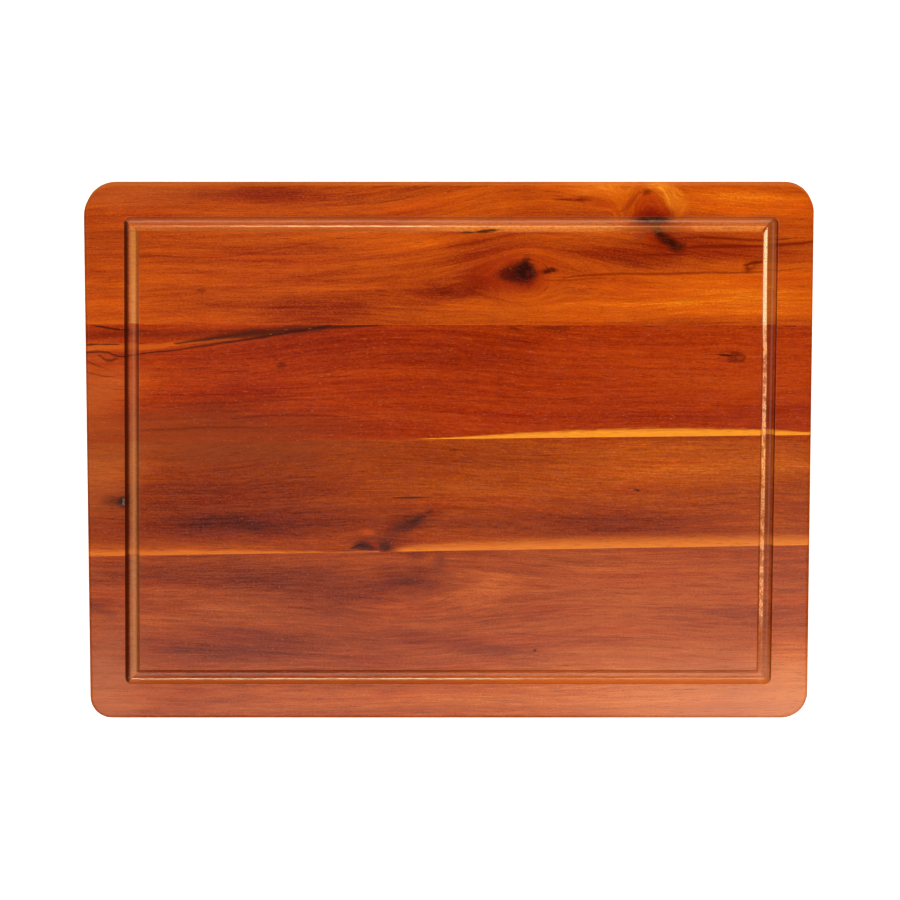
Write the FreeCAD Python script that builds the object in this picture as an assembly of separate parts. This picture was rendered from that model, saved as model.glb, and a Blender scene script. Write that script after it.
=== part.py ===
import FreeCAD, Part
import math
import os

# Steak board: four staves glued edge to edge, with one juice groove routed round the top.
# The frame stands at the middle of the underside: +X along the length, +Y to the back, +Z up.
# Millimetres throughout.

BOARD_LENGTH = 400.0
BOARD_WIDTH = 300.0
BOARD_THICKNESS = 16.0

# The corners in plan were sanded by hand, so no two have the same radius.
CORNER_BACK_LEFT = 17.0
CORNER_BACK_RIGHT = 15.0
CORNER_FRONT_LEFT = 12.0
CORNER_FRONT_RIGHT = 14.5

# Round-over along the rims of the top and of the underside.
EDGE_ROUND = 2.0

# Glue lines between the staves: their Y where they meet the left and the right end.
# The staves were jointed by eye and taper a little along the board.
GLUE_BACK_AT_LEFT = 72.8
GLUE_BACK_AT_RIGHT = 72.1
GLUE_MIDDLE_AT_LEFT = 6.4
GLUE_MIDDLE_AT_RIGHT = 11.0
GLUE_FRONT_AT_LEFT = -57.6
GLUE_FRONT_AT_RIGHT = -51.2

# The juice groove is one pass of a round-nosed cutter, and its lips are eased with sandpaper.
CUTTER_RADIUS = 4.0
GROOVE_DEPTH = 4.0
LIP_ROUND = 0.4

# Distance of the groove's middle line from each edge of the board. The two end legs
# wander off square, so they have one value at the back and one at the front.
GROOVE_FROM_BACK = 21.6
GROOVE_FROM_FRONT = 23.6
GROOVE_FROM_LEFT_AT_BACK = 26.0
GROOVE_FROM_LEFT_AT_FRONT = 23.7
GROOVE_FROM_RIGHT_AT_BACK = 23.4
GROOVE_FROM_RIGHT_AT_FRONT = 24.5

# Cutting solids run this far past the faces that they leave through.
OVERRUN = 5.0

HALF_LENGTH = BOARD_LENGTH / 2
HALF_WIDTH = BOARD_WIDTH / 2
UP = FreeCAD.Vector(0, 0, 1)
PARTS_FOLDER = "parts"


def blank():
    """The glued-up board before routing: a slab with four round corners and round rims."""
    slab = Part.makeBox(
        BOARD_LENGTH,
        BOARD_WIDTH,
        BOARD_THICKNESS,
        FreeCAD.Vector(-HALF_LENGTH, -HALF_WIDTH, 0),
    )
    radii = {
        (-1, 1): CORNER_BACK_LEFT,
        (1, 1): CORNER_BACK_RIGHT,
        (-1, -1): CORNER_FRONT_LEFT,
        (1, -1): CORNER_FRONT_RIGHT,
    }
    for (side_x, side_y), radius in radii.items():
        slab = slab.makeFillet(radius, [upright_edge(slab, side_x, side_y)])
    return slab.makeFillet(EDGE_ROUND, rim_edges(slab))


def upright_edge(slab, side_x, side_y):
    """The square upright edge of the slab that stands at one corner."""
    corner = FreeCAD.Vector(side_x * HALF_LENGTH, side_y * HALF_WIDTH, BOARD_THICKNESS / 2)
    return min(slab.Edges, key=lambda edge: edge.CenterOfMass.distanceToPoint(corner))


def rim_edges(slab):
    """Every edge that lies flat in the top or in the underside."""
    return [edge for edge in slab.Edges if edge.BoundBox.ZLength < BOARD_THICKNESS / 2]


def groove_corners():
    """Where the cutter's axis turns, at the height of the top face, clockwise from above."""
    back = HALF_WIDTH - GROOVE_FROM_BACK
    front = -HALF_WIDTH + GROOVE_FROM_FRONT
    return [
        FreeCAD.Vector(-HALF_LENGTH + GROOVE_FROM_LEFT_AT_BACK, back, BOARD_THICKNESS),
        FreeCAD.Vector(HALF_LENGTH - GROOVE_FROM_RIGHT_AT_BACK, back, BOARD_THICKNESS),
        FreeCAD.Vector(HALF_LENGTH - GROOVE_FROM_RIGHT_AT_FRONT, front, BOARD_THICKNESS),
        FreeCAD.Vector(-HALF_LENGTH + GROOVE_FROM_LEFT_AT_FRONT, front, BOARD_THICKNESS),
    ]


def half_section(origin, outward):
    """Half of the cut's section, from the cutter's axis at origin towards outward.

    A floor arc of the cutter's radius runs up into the lip, an arc that is tangent to the
    floor, or to the straight wall above it in a deep groove, and to the top face.
    """
    nose_height = CUTTER_RADIUS - GROOVE_DEPTH
    lip_height = -LIP_ROUND
    if nose_height >= lip_height:
        reach = CUTTER_RADIUS + LIP_ROUND
        lip_radius = math.sqrt(reach ** 2 - (nose_height - lip_height) ** 2)
        share = CUTTER_RADIUS / reach
        foot_radius = lip_radius * share
        floor_height = nose_height + (lip_height - nose_height) * share
        foot_height = floor_height
    else:
        lip_radius = CUTTER_RADIUS + LIP_ROUND
        foot_radius = CUTTER_RADIUS
        floor_height = nose_height
        foot_height = lip_height

    def at(radius, height):
        return origin + outward * radius + UP * height

    def arc(centre, radius, start, end):
        middle = (start + end) / 2
        points = [
            at(centre[0] + radius * math.cos(angle), centre[1] + radius * math.sin(angle))
            for angle in (start, middle, end)
        ]
        return Part.Arc(*points).toShape()

    floor_end = math.atan2(floor_height - nose_height, foot_radius)
    lip_start = math.atan2(foot_height - lip_height, foot_radius - lip_radius) % (2 * math.pi)
    edges = [arc((0, nose_height), CUTTER_RADIUS, -math.pi / 2, floor_end)]
    if foot_height > floor_height:
        edges.append(Part.makeLine(at(foot_radius, floor_height), at(foot_radius, foot_height)))
    edges.append(arc((lip_radius, lip_height), LIP_ROUND, lip_start, math.pi / 2))
    edges.append(Part.makeLine(at(lip_radius, 0), at(lip_radius, OVERRUN)))
    edges.append(Part.makeLine(at(lip_radius, OVERRUN), at(0, OVERRUN)))
    edges.append(Part.makeLine(at(0, OVERRUN), at(0, -GROOVE_DEPTH)))
    return Part.Face(Part.Wire(edges))


def groove_cut():
    """What the cutter sweeps: four straight legs, and a quarter turn outside each corner.

    The inner corners stay sharp, as a cutter leaves them, and the outer ones get its radius.
    """
    corners = groove_corners()
    sweeps = []
    for index, corner in enumerate(corners):
        before = corner - corners[index - 1]
        after = corners[(index + 1) % len(corners)] - corner
        outward_before = UP.cross(before).normalize()
        outward_after = UP.cross(after).normalize()
        sweeps.append(half_section(corner, outward_after).extrude(after))
        sweeps.append(half_section(corner, -outward_after).extrude(after))
        turn = math.degrees(before.getAngle(after))
        sweeps.append(half_section(corner, outward_before).revolve(corner, UP, -turn))
    return sweeps[0].multiFuse(sweeps[1:]).removeSplitter()


def stave(board, behind, ahead):
    """The part of the board between two glue lines, each given by its Y at the two ends."""
    reach = HALF_LENGTH + OVERRUN

    def on_line(line, x):
        at_left, at_right = line
        slope = (at_right - at_left) / BOARD_LENGTH
        return FreeCAD.Vector(x, at_left + slope * (x + HALF_LENGTH), -OVERRUN)

    outline = Part.makePolygon([
        on_line(behind, -reach),
        on_line(behind, reach),
        on_line(ahead, reach),
        on_line(ahead, -reach),
        on_line(behind, -reach),
    ])
    bay = Part.Face(outline).extrude(UP * (BOARD_THICKNESS + 2 * OVERRUN))
    return board.common(bay).Solids[0]


def staves():
    """Each stave's solid by its name, from the back of the board to the front."""
    board = blank().cut(groove_cut()).removeSplitter()
    past_back = HALF_WIDTH + OVERRUN
    lines = [
        (past_back, past_back),
        (GLUE_BACK_AT_LEFT, GLUE_BACK_AT_RIGHT),
        (GLUE_MIDDLE_AT_LEFT, GLUE_MIDDLE_AT_RIGHT),
        (GLUE_FRONT_AT_LEFT, GLUE_FRONT_AT_RIGHT),
        (-past_back, -past_back),
    ]
    names = ["stave_back", "stave_mid_back", "stave_mid_front", "stave_front"]
    return {
        name: stave(board, behind, ahead)
        for name, behind, ahead in zip(names, lines, lines[1:])
    }


os.makedirs(PARTS_FOLDER, exist_ok=True)
for name, solid in staves().items():
    solid.exportStep(f"{PARTS_FOLDER}/{name}.step")
    box = solid.optimalBoundingBox()
    print(f"{name}: {box.XLength:.1f} x {box.YLength:.1f} x {box.ZLength:.1f} mm, valid {solid.isValid()}")
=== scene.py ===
"""Looks of the steak board: four oiled hardwood staves, their knots, streaks and groove.

Each stave is solid timber. Its grain is worked out in millimetres from the place in the
board, so the same streak runs over the top, down the rims and along the groove.
"""

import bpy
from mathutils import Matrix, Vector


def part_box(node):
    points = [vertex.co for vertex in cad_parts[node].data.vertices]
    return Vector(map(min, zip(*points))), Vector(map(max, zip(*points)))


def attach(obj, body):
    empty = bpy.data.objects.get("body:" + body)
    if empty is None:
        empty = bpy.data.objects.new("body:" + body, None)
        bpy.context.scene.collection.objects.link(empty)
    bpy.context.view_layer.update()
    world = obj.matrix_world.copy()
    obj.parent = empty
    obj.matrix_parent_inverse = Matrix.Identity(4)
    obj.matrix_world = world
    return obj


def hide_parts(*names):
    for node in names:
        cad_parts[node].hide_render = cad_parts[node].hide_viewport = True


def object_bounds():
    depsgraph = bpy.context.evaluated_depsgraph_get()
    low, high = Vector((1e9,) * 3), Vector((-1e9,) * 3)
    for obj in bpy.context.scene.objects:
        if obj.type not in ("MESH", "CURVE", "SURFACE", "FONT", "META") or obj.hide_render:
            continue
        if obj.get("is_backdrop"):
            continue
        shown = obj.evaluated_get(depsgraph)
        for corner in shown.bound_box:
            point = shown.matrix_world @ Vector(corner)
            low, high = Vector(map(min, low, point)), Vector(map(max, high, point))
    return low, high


bl_info = {
    "name": "Steak board",
    "version": (1, 0, 0),
    "blender": (4, 5, 0),
    "location": "View3D > Sidebar > Board",
    "description": "Dresses the four staves of a steak board and lights it on a pale floor",
    "category": "Object",
}

import math

import bpy
from bpy.props import FloatProperty, FloatVectorProperty, PointerProperty
from mathutils import Vector

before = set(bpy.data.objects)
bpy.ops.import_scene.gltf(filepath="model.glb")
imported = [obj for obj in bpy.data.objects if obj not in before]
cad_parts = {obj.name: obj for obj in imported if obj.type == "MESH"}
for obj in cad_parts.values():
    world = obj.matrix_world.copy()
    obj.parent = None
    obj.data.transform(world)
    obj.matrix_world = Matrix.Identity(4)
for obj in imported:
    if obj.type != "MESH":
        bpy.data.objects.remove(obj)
CAD_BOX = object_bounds()

MM = 0.001
BODY = "root"
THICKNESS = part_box("stave_back")[1].z / MM
HALF_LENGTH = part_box("stave_back")[1].x / MM

# The groove's middle lines in millimetres: the Y of its two long legs, and for each end leg
# the X where it crosses the middle of the board and how much it leans to +X along +Y.
BACK_LEG_Y = 128.4
FRONT_LEG_Y = -126.4
LEFT_LEG = (-175.16, 0.00903)
RIGHT_LEG = (176.05, 0.0043)

# Both end legs lie about this far from the middle. The groove lies inside a rectangle with
# these half sides, and the rims lie outside it.
END_LEGS_X = 175.5
GROOVE_HALF_LENGTH = 190
GROOVE_HALF_WIDTH = 140

# The studio lights the top face this much brighter than would show its colours unchanged.
STUDIO_LIGHT = 1.36


def shown(red, green, blue):
    """The wood's own colour where the studio has to show that one, each channel 0 to 255."""
    def linear(channel):
        share = channel / 255
        if share <= 0.04045:
            return share / 12.92
        return ((share + 0.055) / 1.055) ** 2.4
    return tuple(linear(channel) / STUDIO_LIGHT for channel in (red, green, blue)) + (1.0,)


class Signal:
    """A shader socket that works in sums: each operator adds its Math node."""

    def __init__(self, shader, socket):
        self.shader = shader
        self.socket = socket

    def __add__(self, other):
        return self.shader.math("ADD", self, other)

    def __radd__(self, other):
        return self.shader.math("ADD", other, self)

    def __sub__(self, other):
        return self.shader.math("SUBTRACT", self, other)

    def __rsub__(self, other):
        return self.shader.math("SUBTRACT", other, self)

    def __mul__(self, other):
        return self.shader.math("MULTIPLY", self, other)

    def __truediv__(self, other):
        return self.shader.math("DIVIDE", self, other)

    def __abs__(self):
        return self.shader.math("ABSOLUTE", self)

    def __neg__(self):
        return self.shader.math("MULTIPLY", self, -1)


class Shader:
    """Adds nodes to one material and hands back their output sockets."""

    def __init__(self, name):
        self.material = bpy.data.materials.new(name)
        self.material.use_nodes = True
        self.tree = self.material.node_tree
        self.tree.nodes.clear()

    def node(self, kind, settings=None, inputs=None, output=0):
        node = self.tree.nodes.new(kind)
        for key, value in (settings or {}).items():
            if key == "stops":
                self.set_stops(node.color_ramp, value)
            elif key == "points":
                self.set_points(node.mapping, value)
            else:
                setattr(node, key, value)
        for key, value in (inputs or {}).items():
            if isinstance(value, Signal):
                self.tree.links.new(value.socket, node.inputs[key])
            else:
                node.inputs[key].default_value = value
        if not node.outputs:
            return None
        return Signal(self, node.outputs[output])

    def set_stops(self, ramp, stops):
        while len(ramp.elements) < len(stops):
            ramp.elements.new(1.0)
        for element, (position, colour) in zip(ramp.elements, stops):
            element.position = position
            element.color = colour

    def set_points(self, mapping, points):
        curve = mapping.curves[0]
        while len(curve.points) < len(points):
            curve.points.new(1.0, 0.0)
        for point, place in zip(curve.points, points):
            point.location = place
            point.handle_type = "AUTO_CLAMPED"
        mapping.extend = "HORIZONTAL"
        mapping.update()

    def math(self, operation, *values):
        return self.node("ShaderNodeMath", {"operation": operation}, dict(enumerate(values)))

    def clamp(self, value):
        return self.node("ShaderNodeClamp", None, {"Value": value})

    def smooth(self, value, low, high):
        """0 below low, 1 above high and a soft step between; the other way with low above high."""
        return self.node(
            "ShaderNodeMapRange",
            {"interpolation_type": "SMOOTHSTEP"},
            {"Value": value, "From Min": low, "From Max": high},
        )

    def band(self, value, rise, fall):
        """1 between a soft rise and a soft fall, each from its first end to its second."""
        return self.smooth(value, *rise) * self.smooth(value, fall[1], fall[0])

    def curve(self, value, points):
        """A smooth curve through given (place, height) points, level past its ends."""
        places = [place for place, height in points]
        heights = [height for place, height in points]
        start, reach = places[0], places[-1] - places[0]
        low, rise = min(heights), max(heights) - min(heights)
        shares = [((place - start) / reach, (height - low) / rise) for place, height in points]
        inputs = {"Value": (value - start) / reach}
        return self.node("ShaderNodeFloatCurve", {"points": shares}, inputs) * rise + low

    def vector(self, operation, *values):
        output = 1 if operation == "DOT_PRODUCT" else 0
        inputs = dict(enumerate(values))
        return self.node("ShaderNodeVectorMath", {"operation": operation}, inputs, output)

    def mix(self, factor, first, second, blend="MIX"):
        return self.node(
            "ShaderNodeMix",
            {"data_type": "RGBA", "blend_type": blend},
            {0: factor, 6: first, 7: second},
            output=2,
        )

    def ramp(self, value, stops):
        return self.node("ShaderNodeValToRGB", {"stops": stops}, {"Fac": value})

    def noise(self, place, detail=2.0, roughness=0.5, output=0):
        return self.node(
            "ShaderNodeTexNoise",
            None,
            {"Vector": place, "Scale": 1.0, "Detail": detail, "Roughness": roughness},
            output=output,
        )


class Timber(Shader):
    """Solid wood in millimetres: x runs with the grain and flow counts across it."""

    def __init__(self, name, seed, ring_slope, ring_bow):
        super().__init__(name)
        self.seed = seed
        place = self.node("ShaderNodeTexCoord", output="Object")
        self.place = self.vector("MULTIPLY", place, (1000, 1000, 1000))
        self.x, self.y, self.z = self.split(self.place)
        self.below = THICKNESS - self.z
        wander = self.noise(self.scaled(self.place, (160, 40, 60)), detail=1.0) - 0.5
        self.flow = self.y + wander * 14
        self.flow = self.flow + self.below * ring_slope + self.below * self.below * ring_bow
        self.sway_y = self.warped((24, 30, 20), (0, 2.4, 0))[1]
        self.spot = self.warped((7, 3.5, 6), (4, 2.6, 0), 2.5)
        self.drift = self.warped((60, 14, 30), (50, 11, 0))
        mottle = self.noise(self.scaled(self.place, (2.0, 1.1, 1.4)), 3.0, 0.65)
        self.mottle = 0.72 + self.smooth(mottle, 0.35, 0.6) * 0.28

    def split(self, vector):
        node = self.node("ShaderNodeSeparateXYZ", None, {0: vector}).socket.node
        return [Signal(self, output) for output in node.outputs]

    def scaled(self, vector, sizes):
        shift = (self.seed * 3.7, self.seed * 1.9, self.seed * 7.3)
        return self.vector("MULTIPLY_ADD", vector, tuple(1 / size for size in sizes), shift)

    def warped(self, sizes, reach, detail=2.0):
        """The place's x, y and z, pushed about by noise of those sizes as far as reach."""
        push = self.noise(self.scaled(self.place, sizes), detail, 0.6, output=1)
        push = self.vector("SUBTRACT", push, (0.5, 0.5, 0.5))
        return self.split(self.vector("MULTIPLY_ADD", push, reach, self.place))

    def swell(self, x, reach, lift, start, end):
        """Grain lines bulge by lift around x, not at all at Y start and fully from Y end on."""
        along = (self.x - x) / reach
        hump = self.math("EXPONENT", -(along * along))
        self.flow = self.flow - hump * self.smooth(self.y, start, end) * lift

    def part_round(self, x, y, length, width, push):
        """Grain lines part and run round a place, as they do round a knot."""
        across = self.y - y
        along = (self.x - x) / length
        near = across / width
        hump = self.math("EXPONENT", -(along * along + near * near))
        self.flow = self.flow - across * hump * push

    def whorl(self, x, y, length, width, floor):
        """Behind Y floor, grain lines turn into arcs round the dome of a branch."""
        ring = self.ring(self.spot, x, y, length, width, 0)
        share = self.smooth(ring, 2.6, 1.3) * self.smooth(self.y, floor, floor + 5)
        arcs = (ring - 1.8) * width * 0.8 + y + 6
        self.flow = self.flow + (arcs - self.flow) * share

    def ring(self, place, x, y, length, width, tilt):
        """0 at a centre, 1 on an ellipse round it: half-length, half-width and tilt in degrees.

        This is all in sums of single numbers, because vectors would fill the renderer's short
        shader memory with three numbers for each mark.
        """
        cosine, sine = math.cos(math.radians(tilt)), math.sin(math.radians(tilt))
        along = self.sum_of(place, x, y, cosine / length, sine / length)
        across = self.sum_of(place, x, y, -sine / width, cosine / width)
        return self.math("SQRT", self.math("MULTIPLY_ADD", across, across, along * along))

    def sum_of(self, place, x, y, share_x, share_y):
        """How far the place lies from x and y, each counted with its share."""
        total = -x * share_x - y * share_y
        if share_y:
            total = self.math("MULTIPLY_ADD", place[1], share_y, total)
        if share_x:
            total = self.math("MULTIPLY_ADD", place[0], share_x, total)
        return total

    def cloud(self, x, y, length, width, tilt=0.0):
        """A broad, soft change of colour that trails off along the grain."""
        return self.smooth(self.ring(self.drift, x, y, length, width, tilt), 1.15, 0.1)

    def patch(self, x, y, length, width, tilt=0.0, core=0.45):
        """A small mark: 1 inside the core share of its ellipse, 0 on and past the ellipse."""
        ring = self.ring(self.spot, x, y, length, width, tilt)
        return self.smooth(ring + self.fibres * 0.05, 1.0, core) * self.mottle

    def streak(self, points, soft=0.7):
        """1 along a line through points, each an x, a y and the line's half-width there."""
        first, last = points[0][0], points[-1][0]
        line = [(x, y) for x, y, half in points]
        widths = [(first - 2, 0), *((x, half) for x, y, half in points), (last + 2, 0)]
        away = abs(self.sway_y - self.curve(self.x, line))
        width = self.curve(self.x, widths)
        return self.smooth(width - away + self.fibres * (soft * 0.3), 0, width * soft + 0.1)

    def layer(self, length, width, detail=2.0, roughness=0.5, gain=5.0):
        """Grain of one coarseness, about -1 to 1, long with the grain and fine across it."""
        grain = self.node("ShaderNodeCombineXYZ", None, {0: self.x, 1: self.flow, 2: self.z})
        found = self.noise(self.scaled(grain, (length, width, width * 1.6)), detail, roughness)
        return (found - 0.5) * gain

    def pits(self):
        """Fine pores, long with the board rather than with the grain, so that knots stay smooth."""
        return (self.noise(self.scaled(self.place, (5, 0.38, 0.6)), detail=1.0) - 0.5) * 5

    def surface(self, colour, roughness, dry, height, depth):
        """Oiled wood, matte where it is dry, with pores as deep as depth, in millimetres."""
        normal = self.node(
            "ShaderNodeBump",
            None,
            {"Strength": 1.0, "Distance": depth * MM, "Height": height},
        )
        oiled = self.node(
            "ShaderNodeBsdfPrincipled",
            None,
            {"Base Color": colour, "Roughness": roughness, "Normal": normal, "IOR": 1.45},
        )
        bare = self.node(
            "ShaderNodeBsdfPrincipled",
            None,
            {"Base Color": colour, "Roughness": 0.7, "Normal": normal, "Specular IOR Level": 0.0},
        )
        both = self.node("ShaderNodeMixShader", None, {0: dry, 1: oiled, 2: bare})
        self.node("ShaderNodeOutputMaterial", None, {"Surface": both})
        return self.material


def across_grain(timber):
    """1 where the wood is cut across its grain, as on the ends."""
    normal = timber.node("ShaderNodeNewGeometry", output="Normal")
    along = timber.vector("DOT_PRODUCT", normal, (1, 0, 0))
    return timber.smooth(abs(along), 0.3, 0.9)


def lying_flat(timber):
    """1 on the flat top and on the underside, less on a slope and 0 on the sides."""
    normal = timber.node("ShaderNodeNewGeometry", output="Normal")
    return abs(timber.vector("DOT_PRODUCT", normal, (0, 0, 1)))


def sapwood(timber, glue, edge, core):
    """1 next to a glue line, fading out at a drawn edge; core is the share that stays full.

    glue is the line's Y at the middle of the board and its rise from end to end.
    """
    at_middle, rise = glue
    line = timber.x * (rise / (2 * HALF_LENGTH)) + at_middle
    width = timber.curve(timber.x, edge) - line
    depth = (timber.y - line) / width + timber.fibres * 0.14
    first = edge[0][0]
    return timber.smooth(depth, 1.05, core) * timber.smooth(timber.x, first, first + 12)


def grain(timber, bands, streaks, fibres, clouds):
    """How bright the wood is, about 0 to 1, coarse to fine, with its light and dark clouds.

    bands, streaks and fibres are each a length, a width and a strength. A cloud is how much it
    adds, and then what timber.cloud takes.
    """
    timber.fibres = timber.layer(*fibres[:2])
    tone = 0.5 + timber.layer(*bands[:2]) * bands[2]
    tone = tone + timber.layer(*streaks[:2]) * streaks[2]
    tone = tone + timber.fibres * fibres[2]
    speckle = timber.noise(timber.scaled(timber.place, (1.3, 0.75, 0.9)), detail=1.0) - 0.5
    tone = tone + speckle * 0.4
    for amount, *place in clouds:
        tone = tone + timber.cloud(*place) * amount
    return tone


def in_groove(timber):
    """1 in the upper half of the wood as far out as the groove runs, and 0 on the rims."""
    past_x = abs(timber.x) - GROOVE_HALF_LENGTH
    past_y = abs(timber.y) - GROOVE_HALF_WIDTH
    beside = timber.math("MAXIMUM", past_x, past_y)
    return timber.smooth(beside, 0, -2) * timber.smooth(timber.below, 8, 6)


def end_legs(timber):
    """1 on the groove's two end legs and 0 on its long legs, parted by a mitre at each corner."""
    middle = (BACK_LEG_Y + FRONT_LEG_Y) / 2
    out_x = abs(timber.x) - END_LEGS_X
    out_y = abs(timber.y - middle) - (BACK_LEG_Y - middle)
    return timber.smooth(out_x - out_y, -0.4, 0.4)


def beside_leg(timber, leg):
    """How far the place lies to the right of an end leg's middle line, in millimetres."""
    middle, lean = leg
    return timber.x - timber.y * lean - middle


def torn(timber):
    """1 where the cutter tore the fibres, on the inner wall of the groove's right leg; the pale colour
    laid there is partly the torn fibres' own, partly a painted highlight from the right.
    """
    right = beside_leg(timber, RIGHT_LEG)
    place = right - timber.curve(timber.y, [(-122, 0.8), (40, 0.8), (72, 0.3), (100, 0.0)])
    wall = timber.band(place, (-4.1, -3.6), (-2.0, -1.4))
    below = timber.smooth(timber.below, 0.02, 0.2)
    speckle = timber.noise(timber.scaled(timber.place, (0.9, 0.6, 0.5)), 2.0, 0.6)
    share = timber.curve(timber.y - (right + 2.2) * 1.5, [
        (-122, 0.1), (-104, 0.2), (-92, 0.8), (-60, 0.8), (-40, 0.6), (-20, 0.6), (0, 0.85),
        (40, 0.8), (66, 0.9), (78, 1.0), (123.9, 1.0), (126, 0),
    ])
    gaps = timber.noise(timber.scaled(timber.place, (3, 4.5, 3)), 2.0, 0.6)
    whole = timber.smooth(timber.y, 62, 74)
    broken = whole + (1 - whole) * (0.35 + timber.smooth(gaps, 0.4, 0.55) * 0.65)
    rough = 0.2 + timber.smooth(speckle, 0.28, 0.6) * 0.9
    return timber.clamp(wall * below * share * broken * rough)


def left_leg_colour(timber, colour, end, inner, floor):
    """Paints shade on the steep outer wall fully and on the inner one by inner, and a painted highlight
    on the floor in threads.
    """
    left = beside_leg(timber, LEFT_LEG)
    # Painted shade on the steep walls, where little light falls.
    painted_wall_shade = timber.curve(left, [
        (-4.4, 0), (-3.9, 0.6), (-3.3, 0.95), (-2.5, 0.85), (-1.5, 0.25), (-0.8, 0),
        (1.8, 0), (2.8, inner), (3.6, inner), (4.2, 0.0),
    ])
    colour = timber.mix(end * painted_wall_shade, colour, shown(62, 14, 2))
    threads = timber.noise(timber.scaled(timber.place, (3, 0.45, 1.2)), detail=1.0)
    threads = 0.75 + timber.smooth(threads, 0.35, 0.65) * 0.35
    # Painted highlight on the floor, where it faces the light from the left.
    pale = timber.curve(left, [
        (-1.8, 0), (-0.4, 0.75), (0.6, 1), (2.0, 0.9), (3.0, 0.25), (4.0, 0.5), (4.4, 0),
    ])
    share, shade = floor
    return timber.mix(end * pale * threads * share, colour, shade)


def right_leg_colour(timber, colour, end, floor):
    """Tints the floor evenly with painted shade and a grey painted sheen, and paints shade on the outer
    wall.
    """
    right = beside_leg(timber, RIGHT_LEG)
    share, shade = floor
    # Painted shade with a grey painted sheen on the floor.
    pale = timber.band(right, (-2.0, -1.2), (2.4, 3.2))
    colour = timber.mix(end * pale * share, colour, shade)
    # Painted shade on the steep outer wall.
    painted_wall_shade = timber.band(right, (2.8, 3.9), (4.3, 4.7))
    return timber.mix(end * painted_wall_shade * 0.7, colour, shown(62, 12, 0))


def long_legs_colour(timber, colour, long):
    """Painted light in the long legs: the rear leg's inner wall and floor as lit from behind, on wood a
    little paler where dry, a painted highlight on its outer wall, and the front leg's outer wall as lit
    from behind.
    """
    behind = timber.y - BACK_LEG_Y
    # dry says how strongly the rear leg's painted light shows along it.
    dry = timber.curve(timber.x, [
        (-172, 0.45), (-110, 0.3), (-60, 0.3), (-10, 0.6), (28, 0.85), (84, 0.8), (100, 0.3),
        (124, 0.25), (136, 0.6), (172, 0.85),
    ])
    dry = dry * (timber.mottle * 1.6 - 0.6)
    # Painted light on the rear leg's inner wall, which faces the light behind.
    inner = timber.band(behind, (-8.4, -7.4), (-2.0, -0.8))
    colour = timber.mix(long * inner * dry, colour, shown(252, 154, 68))
    # Painted light on the rear leg's floor.
    floor = timber.band(behind, (-1.6, -1.0), (0.6, 1.2))
    colour = timber.mix(long * floor * dry * 0.6, colour, shown(226, 142, 80))
    # Painted highlight on the rear leg's outer wall.
    outer = timber.band(behind, (0.2, 1.0), (3.2, 3.8))
    warm = 0.3 + timber.smooth(timber.x, 60, 120) * 0.2
    colour = timber.mix(long * outer * warm, colour, shown(208, 122, 52))
    # Painted light on the front leg's outer wall, which faces the light behind.
    outer = timber.band(timber.y - FRONT_LEG_Y, (-7.6, -6.6), (-2.6, -1.4))
    pale = 0.35 + timber.smooth(timber.x, 0, 60) * 0.3
    return timber.mix(long * outer * pale, colour, shown(210, 104, 38))


def painted_groove_light(timber, colour, inside, shades):
    """Paints shade on the groove's steep walls and light on its floors and on the walls that face the
    lights.

    shades is how dark the painted shade on the left leg's inner wall is, then for the left floor and
    for the right floor how much shows of which shade.
    """
    inner, left_floor, right_floor = shades
    end = end_legs(timber) * inside * timber.smooth(timber.below, 0.1, 0.6)
    colour = left_leg_colour(timber, colour, end, inner, left_floor)
    colour = right_leg_colour(timber, colour, end, right_floor)
    long = (1 - end_legs(timber)) * inside * timber.smooth(timber.below, 0.1, 0.5)
    return long_legs_colour(timber, colour, long)


def figured(timber, tone, stops, marks):
    """Colours the tone, with fine dark lines and a drift of hue, lays the marks over it, and
    over those the pores and a few pale flecks.
    """
    darkest = stops[0][1]
    colour = timber.ramp(timber.clamp(tone), stops)
    lines = timber.layer(34, 0.9, detail=1.0)
    colour = timber.mix(timber.smooth(lines, 0.65, 1.6) * 0.5, colour, darkest)
    hue = timber.layer(75, 10, detail=3.0)
    redder, browner = (1.02, 0.72, 0.6, 1.0), (1.0, 1.2, 1.25, 1.0)
    colour = timber.mix(timber.smooth(hue, 0.15, 1.1) * 0.5, colour, redder, "MULTIPLY")
    colour = timber.mix(timber.smooth(hue, -0.15, -1.1) * 0.5, colour, browner, "MULTIPLY")
    for mask, shade in marks:
        colour = timber.mix(mask, colour, shade)
    pores = timber.layer(7, 0.34, detail=1.0)
    colour = timber.mix(timber.smooth(pores, 0.55, 1.3) * 0.5, colour, darkest)
    flecks = timber.noise(timber.scaled(timber.place, (1.8, 0.5, 0.8)), detail=0.0)
    return timber.mix(timber.smooth(flecks, 0.76, 0.86) * 0.3, colour, shown(225, 140, 80))


def side_colour(timber, colour, rim, inside):
    """Darkens end grain, and paints light on the upright sides a little: a golden painted light at the
    rear, a pinkish painted sheen at the front.
    """
    colour = timber.mix(rim * across_grain(timber) * 0.25, colour, shown(90, 40, 24))
    # Painted light on the upright sides: as lit from behind at the rear, a painted sheen at the front.
    outer = timber.smooth(lying_flat(timber), 0.75, 0.2) * (1 - inside)
    rear = timber.smooth(timber.y, 60, 140)
    colour = timber.mix(outer * 0.35 * (1 - rear), colour, shown(168, 104, 86))
    return timber.mix(outer * 0.2 * rear, colour, shown(216, 150, 80))


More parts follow.
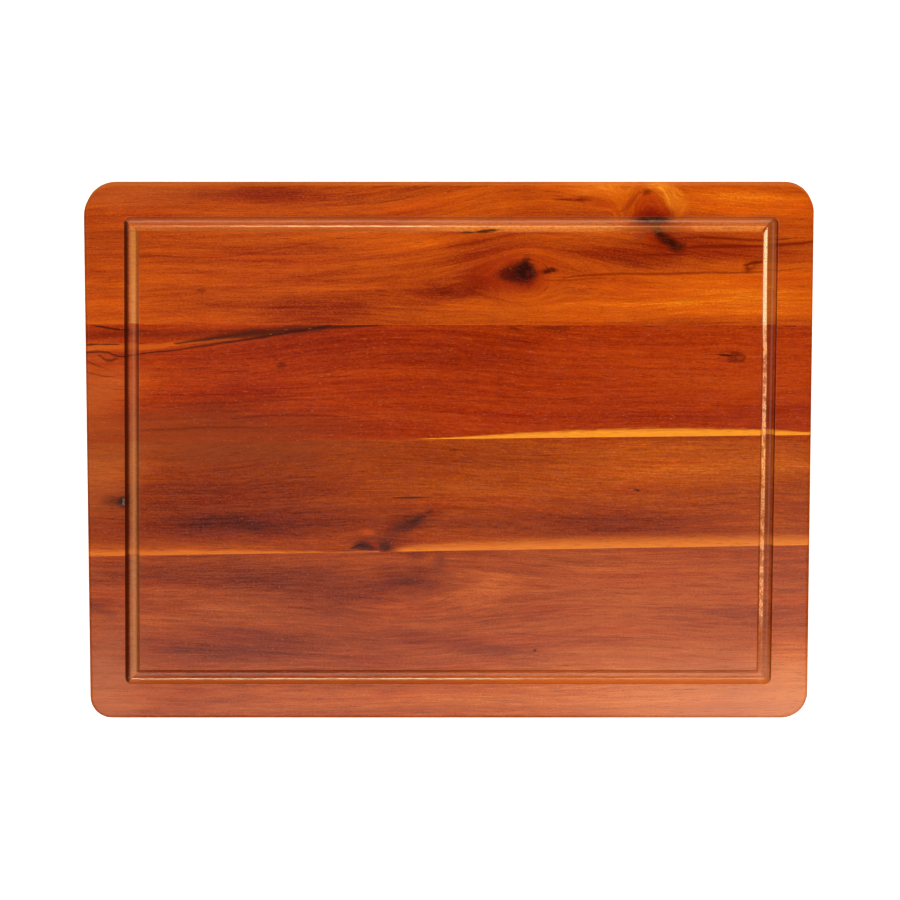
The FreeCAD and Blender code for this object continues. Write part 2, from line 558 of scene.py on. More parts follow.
def dryness(timber, rim, inside, ragged):
    """1 where no oil shines: on the rims, on torn fibres and partly in the groove."""
    end = end_legs(timber) * inside * timber.smooth(timber.below, 0.5, 2) * 0.55
    front = timber.smooth(timber.y - FRONT_LEG_Y, 0.4, -1.1) * timber.smooth(timber.x, 0, 70)
    back = timber.band(timber.y - BACK_LEG_Y, (-6.4, -5.4), (-1.4, -0.4))
    back = back * timber.smooth(timber.x, -30, 20)
    long = timber.smooth(timber.below, 0.005, 0.06) * inside * (1 - end_legs(timber))
    lip = long * timber.smooth(timber.below, 0.7, 0.4) * 0.6
    dry = timber.math("MAXIMUM", rim + end + (front + back) * long * 0.7, ragged)
    return timber.math("MAXIMUM", dry, lip)


def finished(timber, tone, stops, marks, shades, torn_shade, wood, scars=()):
    """The stave's material, from the tone of its wood to its oiled surface.

    marks and scars give masks with their shades; scars also cross the walls of the groove.
    Each makes its nodes only when asked for the next, because a renderer's shader memory is
    short and a mask takes up a part of it from its first node to its mix.
    """
    colour = figured(timber, tone, stops, marks)
    inside = in_groove(timber)
    ragged = torn(timber)
    # Pale torn fibres with a painted highlight, as lit from the right.
    colour = timber.mix(ragged, painted_groove_light(timber, colour, inside, shades), torn_shade)
    for mask, shade in scars:
        colour = timber.mix(mask, colour, shade)
    rim = timber.smooth(lying_flat(timber), 0.9985, 0.985) * (1 - inside)
    colour = side_colour(timber, colour, rim, inside)
    roughness = 0.17 + timber.layer(14, 5) * 0.02
    dry = dryness(timber, rim, inside, ragged)
    return timber.surface(colour, roughness, dry, timber.pits(), wood.pore_depth)


def back_timber(wood):
    """Rear stave: orange, with a tear-shaped knot and a branch that meets the groove."""
    timber = Timber("wood_back", 1, 0.45, 0.012)
    timber.swell(48, 70, 15, 82, 112)
    timber.part_round(41, 101, 17, 14, 0.75)
    timber.whorl(110.5, 131, 8.6, 13.5, 124)
    tone = grain(timber, (150, 6, 0.10), (60, 2.0, 0.07), (11, 0.75, 0.08), [
        (0.16, 92, 138, 14, 9, 30),
        (0.12, 150, 144, 80, 8),
        (-0.12, -30, 84, 44, 12),
        (0.17, 130, 84, 190, 13),
        (-0.15, -74, 114, 60, 9),
        (-0.11, 22, 100, 28, 9),
        (-0.08, -130, 145, 110, 9),
        (0.15, 175, 96, 70, 20),
        (0.13, -185, 84, 50, 14),
        (-0.22, -70, 81, 38, 11, 8),
        (-0.24, 5, 94, 32, 8, 14),
        (-0.12, 20, 112, 34, 12, 10),
        (-0.20, 108, 113, 60, 12),
        (-0.14, 165, 112, 40, 9),
        (0.22, 165, 140, 55, 14),
        (0.22, 84, 148, 40, 9),
        (0.10, 10, 142, 60, 9),
        (-0.16, -110, 146, 60, 5),
        (-0.10, -115, 141, 75, 5),
        (0.12, -22, 117, 34, 8),
        (-0.12, -188, 99, 16, 9),
        (-0.07, -108, 84, 40, 9),
    ])
    stops = [
        (0.0, shown(84, 14, 0)),
        (0.25, shown(138, 38, 6)),
        (0.5, shown(178, 70, 11)),
        (0.75, shown(209, 91, 9)),
        (1.0, shown(243, 132, 24)),
    ]
    dark_red = shown(112, 20, 2)
    black = shown(34, 12, 6)
    fine = timber.smooth(timber.layer(8, 0.9), -0.5, 0.9)
    cloud, patch, streak = timber.cloud, timber.patch, timber.streak

    def marks():
        yield cloud(-186, 146, 80, 14) * 0.22, shown(184, 98, 52)
        yield cloud(-190, 119, 22, 13) * 0.35, shown(140, 44, 14)
        yield cloud(150, 118, 60, 9) * 0.28, shown(138, 28, 2)
        yield streak([
            (-168, 111, 0.2), (-131, 110, 0.7), (-106, 113, 0.7), (-81, 117, 0.6), (-48, 123, 0.2),
        ]) * 0.45, dark_red
        yield streak([
            (61, 99, 0.2), (105, 101, 1.2), (149, 101.5, 1.0), (196, 104, 0.3),
        ]) * 0.6, dark_red
        yield patch(28, 100.5, 34, 17, 4, 0.0) * 0.6, shown(140, 30, 2)
        yield patch(40, 103, 34, 19, 0, 0.2) * 0.5, shown(172, 48, 4)
        yield patch(40, 98.6, 16, 13, 0, 0.2) * 0.75, shown(128, 20, 2)
        yield patch(37.6, 101.4, 11, 8.8, 0, 0.3) * 0.95, shown(58, 10, 4)
        yield patch(31.6, 100.6, 10, 5.4, 0, 0.1) * 0.95, shown(64, 12, 5)
        yield patch(42.6, 102, 8.6, 9.4, 0, 0.3), shown(38, 10, 6)
        yield patch(42.2, 108, 3.6, 5.4, -10, 0.0) * 0.85, shown(48, 10, 6)
        yield patch(31, 101, 6, 4, 0, 0.0) * 0.35, shown(112, 22, 8)
        yield patch(43.2, 101.4, 2.2, 3.6, -10, 0.0) * 0.5, shown(112, 22, 8)
        yield patch(46.0, 102, 1.6, 5.0, 6, 0.0) * 0.25, shown(88, 50, 50)
        yield patch(55, 102.6, 6.6, 2.2, 3, 0.2) * 0.95, shown(66, 14, 4)
        yield streak([
            (50, 98.6, 0.4), (56, 97.0, 0.6), (64, 97.2, 0.8), (84, 98.4, 0.3),
        ]) * 0.45, dark_red
        yield streak([(105, 111.6, 0.4), (118, 111.8, 1.3), (132, 111.7, 0.5)]) * 0.7, dark_red
        yield patch(122.5, 143, 14, 8, -42, 0.1) * (0.3 + fine * 0.7), shown(250, 146, 34)
        yield patch(114, 149.5, 9, 4, -10, 0.1) * (0.35 + fine * 0.6), shown(252, 150, 36)
        yield patch(84, 148.5, 28, 6.5, 4, 0.0) * (0.2 + fine * 0.5), shown(240, 138, 40)
        yield patch(73, 142.4, 8, 2.6, 4, 0.1) * 0.55, dark_red
        yield patch(111, 132, 13, 17, 0, 0.6) * 0.65, shown(180, 54, 4)
        yield streak([
            (94, 135.6, 0.8), (98, 138, 2.0), (101, 142, 2.8), (104, 146, 2.2),
        ], soft=1) * 0.55, shown(146, 44, 6)
        yield patch(108.2, 146, 5, 2.4, 0, 0.1) * 0.8, shown(104, 24, 0)
        yield patch(98, 139, 4, 9, -35, 0.0) * 0.5, shown(150, 44, 4)
        yield patch(108, 134, 14, 13, 0, 0.1) * 0.5, shown(140, 26, 0)
        yield patch(111, 131, 18, 9.5, 0, 0.3) * 0.9, shown(118, 10, 0)
        yield patch(112, 128.4, 8, 1.2, 0, 0.1) * 0.75, black
        yield patch(118, 119.6, 19, 12, -35, 0.0) * 0.85, shown(120, 18, 2)
        yield patch(105, 121.6, 5, 2.6, 10, 0.1) * 0.5, shown(118, 62, 40)
        yield patch(114, 125, 6, 3.6, -60, 0.1) * 0.8, shown(70, 16, 4)
        yield patch(116, 122.4, 9, 4.4, -50, 0.1) * 0.95, shown(58, 14, 2)
        yield patch(121.5, 118.4, 9.6, 5, -40, 0.1), shown(50, 14, 3)
        yield patch(126, 116.2, 7.4, 4.8, -8, 0.1) * 0.95, shown(54, 14, 4)
        yield streak([
            (124, 120.4, 0.4), (140, 120.8, 1.4), (168, 119.6, 1.2), (190, 121, 0.3),
        ], soft=1) * 0.7, shown(96, 14, 0)
        yield streak([(92, 118.6, 0.3), (104, 117.6, 1.0), (116, 116, 0.4)], soft=1) * 0.5, dark_red
        yield streak([
            (130, 115.5, 0.6), (150, 116, 1.7), (174, 116.2, 1.0), (182, 117, 1.6), (205, 119, 0.8),
        ]) * 0.8, dark_red
        yield patch(166.5, 105.4, 8, 4.6, 20, 0.1) * 0.6, dark_red
        yield patch(164.6, 104.4, 4.6, 3.6, 20, 0.1) * 0.6, shown(96, 16, 4)
        yield patch(166, 105.2, 2.4, 1.6, 25, 0.2) * 0.9, shown(190, 76, 16)
        yield streak([(163, 106, 0.7), (168, 107.4, 1.2), (172.4, 107.6, 0.8)]) * 0.75, shown(96, 16, 2)
        yield streak([(58, 142, 0.5), (66, 142, 1.2), (77, 141.8, 0.4)]) * 0.7, dark_red
        yield patch(-136, 91.5, 3.5, 1.5) * 0.5, dark_red

    def scars():
        yield streak([
            (6, 124.0, 0.3), (10, 124.3, 0.9), (14, 124.5, 0.6), (19, 124.9, 1.2), (24, 125.2, 0.9),
            (27, 125.4, 0.3),
        ]) * 0.9, shown(64, 22, 8)
        yield patch(112, 130.6, 15, 2.8, 0, 0.3) * 0.9, black

    # Colours for the groove's painted shade and painted light, and the torn fibres' pale colour with
    # its painted highlight.
    shades = (0.05, (0.75, shown(222, 150, 80)), (0.6, shown(150, 84, 34)))
    torn_shade = (1.0, 0.72, 0.42, 1.0)
    return finished(timber, tone, stops, marks(), shades, torn_shade, wood, scars())


def mid_back_timber(wood):
    """Second stave: dark red, a black heart streak at its rear left, sapwood at its front edge."""
    timber = Timber("wood_mid_back", 2, -0.35, 0.01)
    timber.swell(-40, 110, 13, 30, 70)
    timber.part_round(157, 55, 12, 7, 0.7)
    tone = grain(timber, (170, 7, 0.07), (60, 1.8, 0.08), (10, 0.7, 0.09), [
        (0.22, -190, 40, 40, 22),
        (0.10, -130, 44, 60, 14),
        (-0.12, -150, 24, 45, 12),
        (-0.12, -40, 62, 120, 12),
        (0.10, 150, 48, 90, 26),
        (-0.12, 10, 52, 70, 5),
        (-0.08, 24, 60, 44, 9),
        (-0.14, 150, 22, 110, 7),
        (-0.12, -112, 30, 34, 20),
        (-0.12, -130, 46, 80, 14),
        (-0.16, -100, 16, 100, 12),
    ])
    stops = [
        (0.0, shown(70, 8, 2)),
        (0.25, shown(128, 28, 2)),
        (0.5, shown(160, 48, 4)),
        (0.75, shown(184, 68, 10)),
        (1.0, shown(218, 104, 24)),
    ]
    black = shown(44, 12, 4)
    dark = shown(88, 16, 2)
    fine = timber.smooth(timber.layer(7, 0.8), -0.6, 0.8)
    edge = [(-20, 8.9), (-1, 9.6), (30, 11.8), (72, 14), (122, 15.2), (168, 14.4), (200, 12.8)]
    cloud, patch, streak = timber.cloud, timber.patch, timber.streak

    def marks():
        yield streak([
            (-205, 60, 3.4), (-170, 60, 2.8), (-150, 62, 2.0), (-115, 65, 0.5),
        ], soft=0.8) * 0.75, shown(205, 92, 16)
        yield cloud(-150, 12, 130, 20) * 0.55, shown(144, 64, 22)
        yield cloud(-200, 34, 34, 30) * 0.5, shown(176, 88, 38)
        yield streak([(-120, 20, 0.4), (-90, 22, 1.6), (-56, 21.4, 0.4)], soft=1) * 0.5, dark
        yield streak([(-172, 13, 0.4), (-140, 15, 1.4), (-100, 15.4, 0.4)], soft=1) * 0.5, dark
        yield streak([(-160, 27, 0.3), (-128, 29, 1.2), (-80, 30.6, 0.3)], soft=1) * 0.45, dark
        yield streak([(-202, 54.5, 0.4), (-194, 50, 0.9), (-188, 48, 0.3)], soft=1) * 0.7, dark
        yield streak([(-201, 47, 0.4), (-192, 44.4, 0.8), (-184, 43.6, 0.3)], soft=1) * 0.6, dark
        yield streak([(-192, 55, 1.0), (-187, 52.6, 1.8), (-183, 53.6, 1.0)], soft=1) * 0.7, black
        yield streak([(-205, 67, 4.2), (-150, 67.5, 3.5), (-100, 70, 2)], soft=0.9) * 0.5, dark
        yield streak([
            (-205, 57.4, 1.1), (-189, 57.2, 1.0), (-184, 55.4, 1.0), (-178, 54.8, 1.0),
            (-170, 56.2, 0.8), (-150, 58.6, 0.8), (-135, 60.8, 1.0), (-121, 63, 1.2),
            (-103, 65.9, 1.4), (-82, 69.5, 1.3), (-66, 72, 1),
        ], soft=0.9) * 0.8, black
        yield streak([
            (-150, 62.2, 0.8), (-135, 64.2, 2.2), (-121, 66.2, 3.2), (-100, 68.6, 4.4),
            (-82, 70.2, 4.2), (-62, 71.4, 2.0), (-40, 72, 0.8),
        ], soft=1) * 0.85, shown(50, 14, 4)
        yield streak([(-205, 61.6, 0.7), (-183, 61.4, 0.5)]) * 0.85, black
        yield streak([(-196, 72.6, 0.4), (-186, 70.6, 0.9), (-177, 69, 0.6)]) * 0.85, black
        yield patch(-92, 49.7, 4, 1.8) * 0.7, dark
        yield patch(36, 70.4, 6, 2.2, -15, 0.1) * 0.7, dark
        yield patch(58, 70.6, 16, 2.6, 0, 0.1) * 0.65, dark
        yield patch(158, 54.6, 7, 4.4) * 0.75, dark
        yield patch(160, 54.4, 2.4, 1.6) * 0.5, shown(170, 60, 16)
        yield streak([(148, 56, 0.3), (152, 55.8, 0.9), (155, 55.6, 0.4)]) * 0.9, black
        yield sapwood(timber, (8.7, 4.6), edge, 0.8) * 0.6, shown(205, 100, 18)
        yield sapwood(timber, (8.7, 4.6), edge, 0.5) * (0.8 + fine * 0.14), shown(246, 156, 40)

    # Colours for the groove's painted shade and painted light, and the torn fibres' pale colour with
    # its painted highlight.
    left_pale = 0.3 + timber.smooth(timber.y, 56, 8) * 0.3
    shades = (0.5, (left_pale, shown(196, 116, 70)), (0.5, shown(104, 40, 14)))
    torn_shade = (1.0, 0.46, 0.22, 1.0)
    return finished(timber, tone, stops, marks(), shades, torn_shade, wood)


def mid_front_timber(wood):
    """Third stave: red-brown, with smeared knots at its front edge and sapwood at its front right."""
    timber = Timber("wood_mid_front", 3, 0.3, -0.01)
    timber.swell(-30, 90, 5, -56, -20)
    timber.part_round(-44, -52, 14, 9, 0.6)
    tone = grain(timber, (170, 6, 0.06), (45, 1.6, 0.07), (10, 0.7, 0.09), [
        (0.18, -190, -5, 36, 18),
        (-0.12, -110, 0, 50, 12),
        (0.26, 140, -4, 130, 16),
        (0.12, 60, -18, 140, 14),
        (-0.10, -150, -22, 70, 12),
        (-0.20, -125, -41, 60, 9),
        (-0.18, -25, -44, 34, 9, 30),
        (-0.20, 90, -38, 100, 8),
        (-0.12, -150, 2, 100, 20),
        (-0.14, -118, -20, 90, 14),
        (-0.22, -110, -38, 130, 14),
        (0.12, 160, -38, 50, 10),
    ])
    stops = [
        (0.0, shown(72, 16, 8)),
        (0.25, shown(118, 36, 8)),
        (0.5, shown(150, 56, 9)),
        (0.75, shown(180, 79, 12)),
        (1.0, shown(218, 118, 28)),
    ]
    black = shown(30, 10, 8)
    dark = shown(84, 22, 10)
    edge = [(-34, -52.6), (-2, -48.4), (41, -46.4), (122, -44.4), (169, -43.4), (200, -43)]
    cloud, patch, streak = timber.cloud, timber.patch, timber.streak

    def marks():
        yield streak([
            (-205, -53.6, 6), (-150, -54.4, 5.4), (-120, -55, 4.6), (-70, -56.6, 2),
        ], soft=1) * 0.5, shown(196, 88, 14)
        yield streak([
            (-205, -56.4, 3.4), (-150, -56.2, 3.0), (-110, -56, 2.4), (-60, -55.6, 1.4),
            (-40, -55.4, 0.8),
        ], soft=0.9) * 0.75, shown(222, 116, 30)
        yield cloud(-198, -8, 34, 34) * 0.45, shown(172, 88, 40)
        yield cloud(-130, 4, 110, 14) * 0.5, shown(148, 66, 24)
        yield patch(-184, -26.4, 13, 5.6, 0, 0.0) * 0.8, shown(60, 22, 12)
        yield patch(-180, -26.8, 5, 5, 0, 0.1) * 0.85, black
        yield patch(-43, -49.6, 18, 10, 0, 0.0) * 0.6, dark
        yield patch(-47.5, -51.6, 9, 4.4, 4, 0.1) * 0.8, shown(64, 14, 8)
        yield streak([
            (-53, -53.2, 1.0), (-49, -51.8, 2.0), (-45, -52.4, 1.8), (-40, -54, 0.5),
        ], soft=1) * 0.8, black
        yield patch(-41.5, -50.4, 5, 1.8, -25, 0.1) * 0.7, shown(158, 40, 10)
        yield patch(-35.4, -52, 5.6, 5, 0, 0.15) * 0.85, shown(52, 16, 10)
        yield patch(-45.4, -44, 7, 3, 0, 0.1) * 0.7, shown(188, 72, 20)
        yield patch(-24.5, -40.4, 15, 7.5, 25, 0.0) * 0.75, shown(60, 18, 12)
        yield patch(-17, -36.6, 9, 3.2, 38, 0.1) * 0.75, shown(44, 14, 12)
        yield patch(-10.8, -32.4, 3, 2.2, 30, 0.1) * 0.7, shown(60, 16, 24)
        yield streak([(-31, -24, 0.4), (-22, -24.3, 0.9), (-13, -24.6, 0.4)]) * 0.7, black
        yield patch(103.5, -20.3, 2.2, 0.8) * 0.95, black
        yield sapwood(timber, (-54.4, 6.4), edge, 0.0) * 0.85, shown(205, 98, 28)
        yield sapwood(timber, (-54.4, 6.4), edge, -0.4) * 0.7, shown(238, 140, 44)

    # Colours for the groove's painted shade and painted light, and the torn fibres' pale colour with
    # its painted highlight.
    shades = (0.35, (0.6, shown(200, 128, 72)), (0.5, shown(120, 54, 24)))
    torn_shade = (1.0, 0.46, 0.19, 1.0)
    return finished(timber, tone, stops, marks(), shades, torn_shade, wood)


def front_timber(wood):
    """Front stave: pinkish brown, with a long oval figure left of its middle."""
    timber = Timber("wood_front", 4, -0.25, 0.014)
    timber.part_round(-20, -81, 62, 26, 0.72)
    tone = grain(timber, (150, 6, 0.08), (55, 1.7, 0.07), (11, 0.75, 0.10), [
        (-0.22, -140, -66, 90, 13),
        (-0.24, -22, -70, 30, 11),
        (-0.10, -60, -88, 34, 12),
        (0.22, 18, -76, 24, 14),
        (0.16, 120, -78, 110, 22),
        (-0.16, -120, -108, 60, 11),
        (-0.14, 20, -110, 60, 7, -8),
        (-0.10, 150, -92, 60, 10),
        (0.2, 40, -142, 260, 16),
        (-0.16, -192, -88, 14, 9),
        (0.26, 110, -122, 150, 32),
        (0.26, 196, -128, 34, 36),
        (-0.20, -78, -76, 64, 18),
        (-0.12, -60, -108, 160, 16),
        (0.16, -190, -140, 40, 14),
        (0.04, -20, -92, 60, 16),
    ])
    stops = [
        (0.0, shown(78, 20, 8)),
        (0.25, shown(122, 42, 14)),
        (0.5, shown(156, 64, 22)),
        (0.75, shown(184, 86, 32)),
        (1.0, shown(214, 116, 50)),
    ]
    dark = shown(84, 28, 20)
    cloud, patch, streak = timber.cloud, timber.patch, timber.streak

    def marks():
        # Painted sheen at the front right, where the front lights shine on the oil.
        front_right_sheen = timber.smooth(timber.x, 20, 190) * timber.smooth(timber.y, -104, -142)
        yield front_right_sheen * 0.45, shown(226, 146, 106)
        yield cloud(-196, -130, 30, 40) * 0.4, shown(186, 106, 66)
        yield streak([(-44, -105, 0.3), (-12, -102, 0.9), (9, -103, 0.7)], soft=1) * 0.35, dark
        yield streak([(12, -106, 0.3), (35, -111.5, 0.9), (58, -115, 0.3)], soft=1) * 0.35, dark
        yield streak([(20, -100, 0.3), (52, -102.5, 0.8), (84, -103, 0.3)], soft=1) * 0.3, dark
        yield streak([(-160, -116, 0.3), (-120, -117.5, 0.8), (-84, -117, 0.3)], soft=1) * 0.3, dark
        yield patch(-18, -56, 9, 6, 0, 0.1) * 0.6, dark
        yield patch(-5, -60, 6, 9, 0, 0.1) * 0.45, dark
        yield patch(47.8, -111, 1.4, 1.0) * 0.6, shown(40, 14, 10)

    # Colours for the groove's painted shade and painted light, and the torn fibres' pale colour with
    # its painted highlight.
    shades = (0.3, (0.6, shown(204, 136, 82)), (0.3, shown(136, 76, 52)))
    torn_shade = (1.0, 0.44, 0.20, 1.0)
    return finished(timber, tone, stops, marks(), shades, torn_shade, wood)


class BoardWood(bpy.types.PropertyGroup):
    """Finish that the four staves share."""

    pore_depth: FloatProperty(
        name="Pore depth",
        description="How deep the pores of the wood are, in millimetres",
        default=0.008,
        min=0.0,
        max=1.0,
    )


class BoardStudio(bpy.types.PropertyGroup):
    """Floor, lights and camera."""

    floor_colour: FloatVectorProperty(
        name="Floor colour",
        description="Colour of the plain floor under the board",
        default=(0.93, 0.93, 0.93),
        subtype="COLOR",
        min=0.0,
        max=1.0,
    )
    floor_size: FloatProperty(
        name="Floor size",
        description="Length of each side of the floor",
        default=12.0,
        unit="LENGTH",
    )
    camera_distance: FloatProperty(
        name="Camera distance",
        description="From the camera to the middle of the top face",
        default=2.814,
        unit="LENGTH",
    )
    camera_tilt: FloatProperty(
        name="Camera tilt",
        description="How far the camera leans from straight above towards the back",
        default=math.radians(10.94),
        unit="ROTATION",
    )
    lens: FloatProperty(
        name="Lens",
        description="Focal length of the camera in millimetres",
        default=203.7,
    )


def deselect():
    bpy.ops.object.select_all(action="DESELECT")


def copy_of(node):
    """A stave to work on: the CAD stave's mesh with its loose triangles joined."""
    deselect()
    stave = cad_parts[node]
    bpy.context.view_layer.objects.active = stave
    stave.select_set(True)
    bpy.ops.object.duplicate()
    piece = bpy.context.object
    piece.name = node + "_worn"
    bpy.ops.object.mode_set(mode="EDIT")
    bpy.ops.mesh.select_all(action="SELECT")
    bpy.ops.mesh.remove_doubles(threshold=0.002 * MM)
    bpy.ops.mesh.customdata_custom_splitnormals_clear()
    bpy.ops.object.mode_set(mode="OBJECT")
    return piece


def cut_away(piece, cutters):
    """Takes each cutter out of the piece, and the cutter out of the scene."""
    for cutter in cutters:
        modifier = piece.modifiers.new("cut", "BOOLEAN")
        modifier.operation = "DIFFERENCE"
        modifier.solver = "EXACT"
        modifier.object = cutter
        bpy.context.view_layer.objects.active = piece
        bpy.ops.object.modifier_apply(modifier=modifier.name)
        bpy.data.objects.remove(cutter)


def ragged_wedge(place, size, cells, slope, roughness, seed, turn=0.0):
    """A slab whose rough underside slopes down to one side, to tear the grain along a lip.

    place is the middle of the underside and size its length along X and Y, in millimetres.
    """
    deselect()
    bpy.ops.mesh.primitive_grid_add(
        x_subdivisions=cells[0],
        y_subdivisions=cells[1],
        size=MM,
        location=[value * MM for value in place],
        rotation=(0, math.radians(slope), math.radians(turn)),
    )
    slab = bpy.context.object
    slab.scale = (size[0], size[1], 1)
    bpy.ops.object.transform_apply(location=True, rotation=True, scale=True)
    bpy.ops.object.mode_set(mode="EDIT")
    bpy.ops.mesh.select_all(action="SELECT")
    bpy.ops.transform.vertex_random(offset=roughness * MM, seed=seed)
    bpy.ops.mesh.extrude_region_move(TRANSFORM_OT_translate={"value": (0, 0, 3 * MM)})
    bpy.ops.mesh.select_all(action="SELECT")
    bpy.ops.mesh.normals_make_consistent(inside=False)
    bpy.ops.object.mode_set(mode="OBJECT")
    return slab


def pinhole(x, y, length, width, depth, seed):
    """A rough, flattened ball to sink depth into the top face; length and width are halves."""
    deselect()
    bpy.ops.mesh.primitive_ico_sphere_add(
        subdivisions=3,
        radius=MM,
        location=(x * MM, y * MM, THICKNESS * MM),
    )
    ball = bpy.context.object
    bpy.ops.object.mode_set(mode="EDIT")
    bpy.ops.mesh.select_all(action="SELECT")
    bpy.ops.transform.vertex_random(offset=0.09 * MM, seed=seed)
    bpy.ops.object.mode_set(mode="OBJECT")
    ball.scale = (length, width, depth)
    bpy.ops.object.transform_apply(location=True, rotation=True, scale=True)
    return ball


def torn_lip():
    """The cutter tore the grain all along the inner lip of the groove's right leg."""
    return ragged_wedge(
        place=(172.3, 4, THICKNESS - 0.45),
        size=(2.6, 226),
        cells=(2, 300),
        slope=45,
        roughness=0.22,
        seed=7,
        turn=-0.25,
    )


def cracked_lip():
    """A short crack in the inner lip of the groove's rear leg."""
    return ragged_wedge(
        place=(16.2, 124.4, THICKNESS - 0.3),
        size=(15, 1.1),
        cells=(20, 2),
        slope=0,
        roughness=0.2,
        seed=8,
        turn=3,
    )


def chipped_lip():
    """A chip out of the outer lip of the groove's left leg."""
    return ragged_wedge(
        place=(-179.9, -26.8, THICKNESS - 0.25),
        size=(2.2, 4.0),
        cells=(4, 7),
        slope=-14,
        roughness=0.3,
        seed=9,
    )


def finish(piece, node, timber):
    """Smooths the worn stave, gives it its wood and puts it in the CAD stave's place."""
    deselect()
    piece.select_set(True)
    bpy.context.view_layer.objects.active = piece
    bpy.ops.object.shade_smooth_by_angle(angle=math.radians(32))
    flatten = piece.modifiers.new("flat_faces", "WEIGHTED_NORMAL")
    flatten.weight = 100
    flatten.keep_sharp = True
    bpy.ops.object.modifier_apply(modifier=flatten.name)
    piece.data.materials.clear()
    piece.data.materials.append(timber(bpy.context.scene.board_wood))
    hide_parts(node)
    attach(piece, BODY)


class BOARD_OT_stave_back(bpy.types.Operator):
    """Make the rear stave, with the crack in the groove's lip"""

    bl_idname = "board.stave_back"
    bl_label = "Rear stave"

    def execute(self, context):
        piece = copy_of("stave_back")
        cut_away(piece, [torn_lip(), cracked_lip()])
        finish(piece, "stave_back", back_timber)
        return {"FINISHED"}


class BOARD_OT_stave_mid_back(bpy.types.Operator):
    """Make the second stave"""

    bl_idname = "board.stave_mid_back"
    bl_label = "Second stave"

    def execute(self, context):
        piece = copy_of("stave_mid_back")
        cut_away(piece, [torn_lip()])
        finish(piece, "stave_mid_back", mid_back_timber)
        return {"FINISHED"}


class BOARD_OT_stave_mid_front(bpy.types.Operator):
    """Make the third stave, with its chipped left lip and its pinhole"""

    bl_idname = "board.stave_mid_front"
    bl_label = "Third stave"

    def execute(self, context):
        piece = copy_of("stave_mid_front")
        hole = pinhole(103.5, -20.3, length=1.2, width=0.6, depth=0.9, seed=10)
        cut_away(piece, [torn_lip(), chipped_lip(), hole])
        finish(piece, "stave_mid_front", mid_front_timber)
        return {"FINISHED"}


class BOARD_OT_stave_front(bpy.types.Operator):
    """Make the front stave, with its pinhole"""

    bl_idname = "board.stave_front"
    bl_label = "Front stave"

    def execute(self, context):
        piece = copy_of("stave_front")
        hole = pinhole(47.8, -111, length=0.9, width=0.6, depth=0.5, seed=11)
        cut_away(piece, [torn_lip(), hole])
        finish(piece, "stave_front", front_timber)
        return {"FINISHED"}


def lay_floor(studio):
    """A plain floor that glows a little, so that it stays pale right up to the board."""
    deselect()
    bpy.ops.mesh.primitive_plane_add(size=studio.floor_size, location=(0, 0, -0.1 * MM))
    floor = bpy.context.object
    floor.name = "floor"
    bpy.ops.object.transform_apply(location=True)
    shader = Shader("floor")
    colour = tuple(studio.floor_colour) + (1.0,)
    inputs = {"Base Color": colour, "Roughness": 0.9}
    inputs.update({"Emission Color": colour, "Emission Strength": 0.42})
    surface = shader.node("ShaderNodeBsdfPrincipled", None, inputs)
    shader.node("ShaderNodeOutputMaterial", None, {"Surface": surface})
    floor.data.materials.append(shader.material)
    floor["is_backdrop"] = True


class Sky(Shader):
    """The same helpers on the world's own nodes."""

    def __init__(self, world):
        world.use_nodes = True
        self.tree = world.node_tree
        self.tree.nodes.clear()


def light_dome():
    """Pale walls, brightest behind, under a dark ceiling, so that the top face takes no haze."""
    world = bpy.data.worlds.new("studio")
    bpy.context.scene.world = world
    sky = Sky(world)
    towards = sky.node("ShaderNodeTexCoord", output="Generated")
    back = sky.vector("DOT_PRODUCT", towards, (0, 1, 0))
    up = sky.vector("DOT_PRODUCT", towards, (0, 0, 1))
    walls = 0.4 + sky.smooth(back, -0.2, 0.9) * 0.6
    strength = walls * sky.smooth(up, 0.88, 0.6)
    glow = sky.node("ShaderNodeBackground", None, {"Strength": strength})
    sky.node("ShaderNodeOutputWorld", None, {"Surface": glow})


def add_softbox(name, place, size, power, colour=(1.0, 1.0, 1.0)):
    """A soft area light at place, turned to face the board."""
    deselect()
    towards = -Vector(place)
    bpy.ops.object.light_add(type="AREA", location=place)
    light = bpy.context.object
    light.name = name
    light.rotation_euler = towards.to_track_quat("-Z", "Y").to_euler()
    light.data.shape = "RECTANGLE"
    light.data.size, light.data.size_y = size
    light.data.energy = power
    light.data.color = colour


def add_camera(studio):
    """The camera, behind the middle and high up, aimed a little past the middle of the top."""
    deselect()
    tilt = studio.camera_tilt
    distance = studio.camera_distance
    aim_x, aim_y = 0.65 * MM, 2.5 * MM
    place = (aim_x, distance * math.sin(tilt), distance * math.cos(tilt) + THICKNESS * MM)
    lean = math.atan2(place[1] - aim_y, place[2] - THICKNESS * MM)
    bpy.ops.object.camera_add(location=place, rotation=(-lean, 0, 0))
    camera = bpy.context.object
    camera.data.lens = studio.lens
    camera.data.sensor_width = 36
    camera.data.clip_end = 100
    bpy.context.scene.camera = camera


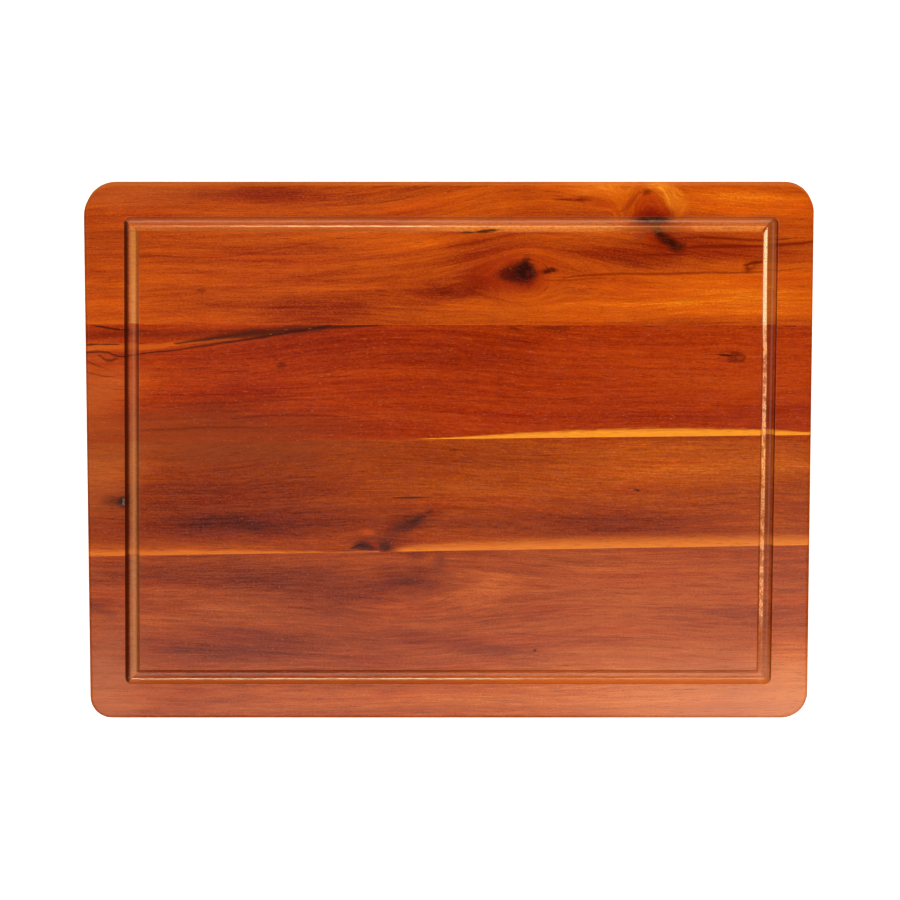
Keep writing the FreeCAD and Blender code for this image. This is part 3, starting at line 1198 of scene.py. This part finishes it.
class BOARD_OT_stage(bpy.types.Operator):
    """Lay the floor and set up the lights and the camera"""

    bl_idname = "board.stage"
    bl_label = "Floor, lights and camera"

    def execute(self, context):
        studio = context.scene.board_studio
        lay_floor(studio)
        light_dome()
        add_softbox("softbox_back", (0.0, 1.9, 2.6), (1.0, 0.9), 62, (1.0, 0.87, 0.55))
        add_softbox("softbox_left", (-0.85, -0.2, 1.2), (1.2, 0.8), 8, (1.0, 0.96, 0.88))
        add_softbox("softbox_right", (1.5, 0.3, 1.1), (0.7, 0.9), 13)
        add_softbox("softbox_front", (0.1, -0.95, 1.0), (1.6, 0.3), 6, (1.0, 0.94, 0.84))
        add_softbox("panel_front", (0.09, -0.56, 1.15), (1.5, 0.36), 3.6)
        add_softbox("panel_above", (-0.12, 0.02, 1.3), (1.4, 0.14), 0.12)
        add_camera(studio)
        context.scene.view_settings.view_transform = "Standard"
        return {"FINISHED"}


STEPS = [
    BOARD_OT_stave_back,
    BOARD_OT_stave_mid_back,
    BOARD_OT_stave_mid_front,
    BOARD_OT_stave_front,
    BOARD_OT_stage,
]


class BOARD_PT_panel(bpy.types.Panel):
    """Sizes and steps of the steak board"""

    bl_label = "Steak board"
    bl_idname = "BOARD_PT_panel"
    bl_space_type = "VIEW_3D"
    bl_region_type = "UI"
    bl_category = "Board"

    def draw(self, context):
        for group in (context.scene.board_wood, context.scene.board_studio):
            box = self.layout.box()
            for key in group.__annotations__:
                box.prop(group, key)
        for step in STEPS:
            self.layout.operator(step.bl_idname)


CLASSES = [BoardWood, BoardStudio, *STEPS, BOARD_PT_panel]


def register():
    for item in CLASSES:
        bpy.utils.register_class(item)
    bpy.types.Scene.board_wood = PointerProperty(type=BoardWood)
    bpy.types.Scene.board_studio = PointerProperty(type=BoardStudio)


def unregister():
    del bpy.types.Scene.board_studio
    del bpy.types.Scene.board_wood
    for item in reversed(CLASSES):
        bpy.utils.unregister_class(item)


def main():
    register()
    bpy.ops.board.stave_back()
    bpy.ops.board.stave_mid_back()
    bpy.ops.board.stave_mid_front()
    bpy.ops.board.stave_front()
    bpy.ops.board.stage()
    boxes = [[list(corner) for corner in box] for box in (CAD_BOX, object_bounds())]


if __name__ == "__main__":
    main()
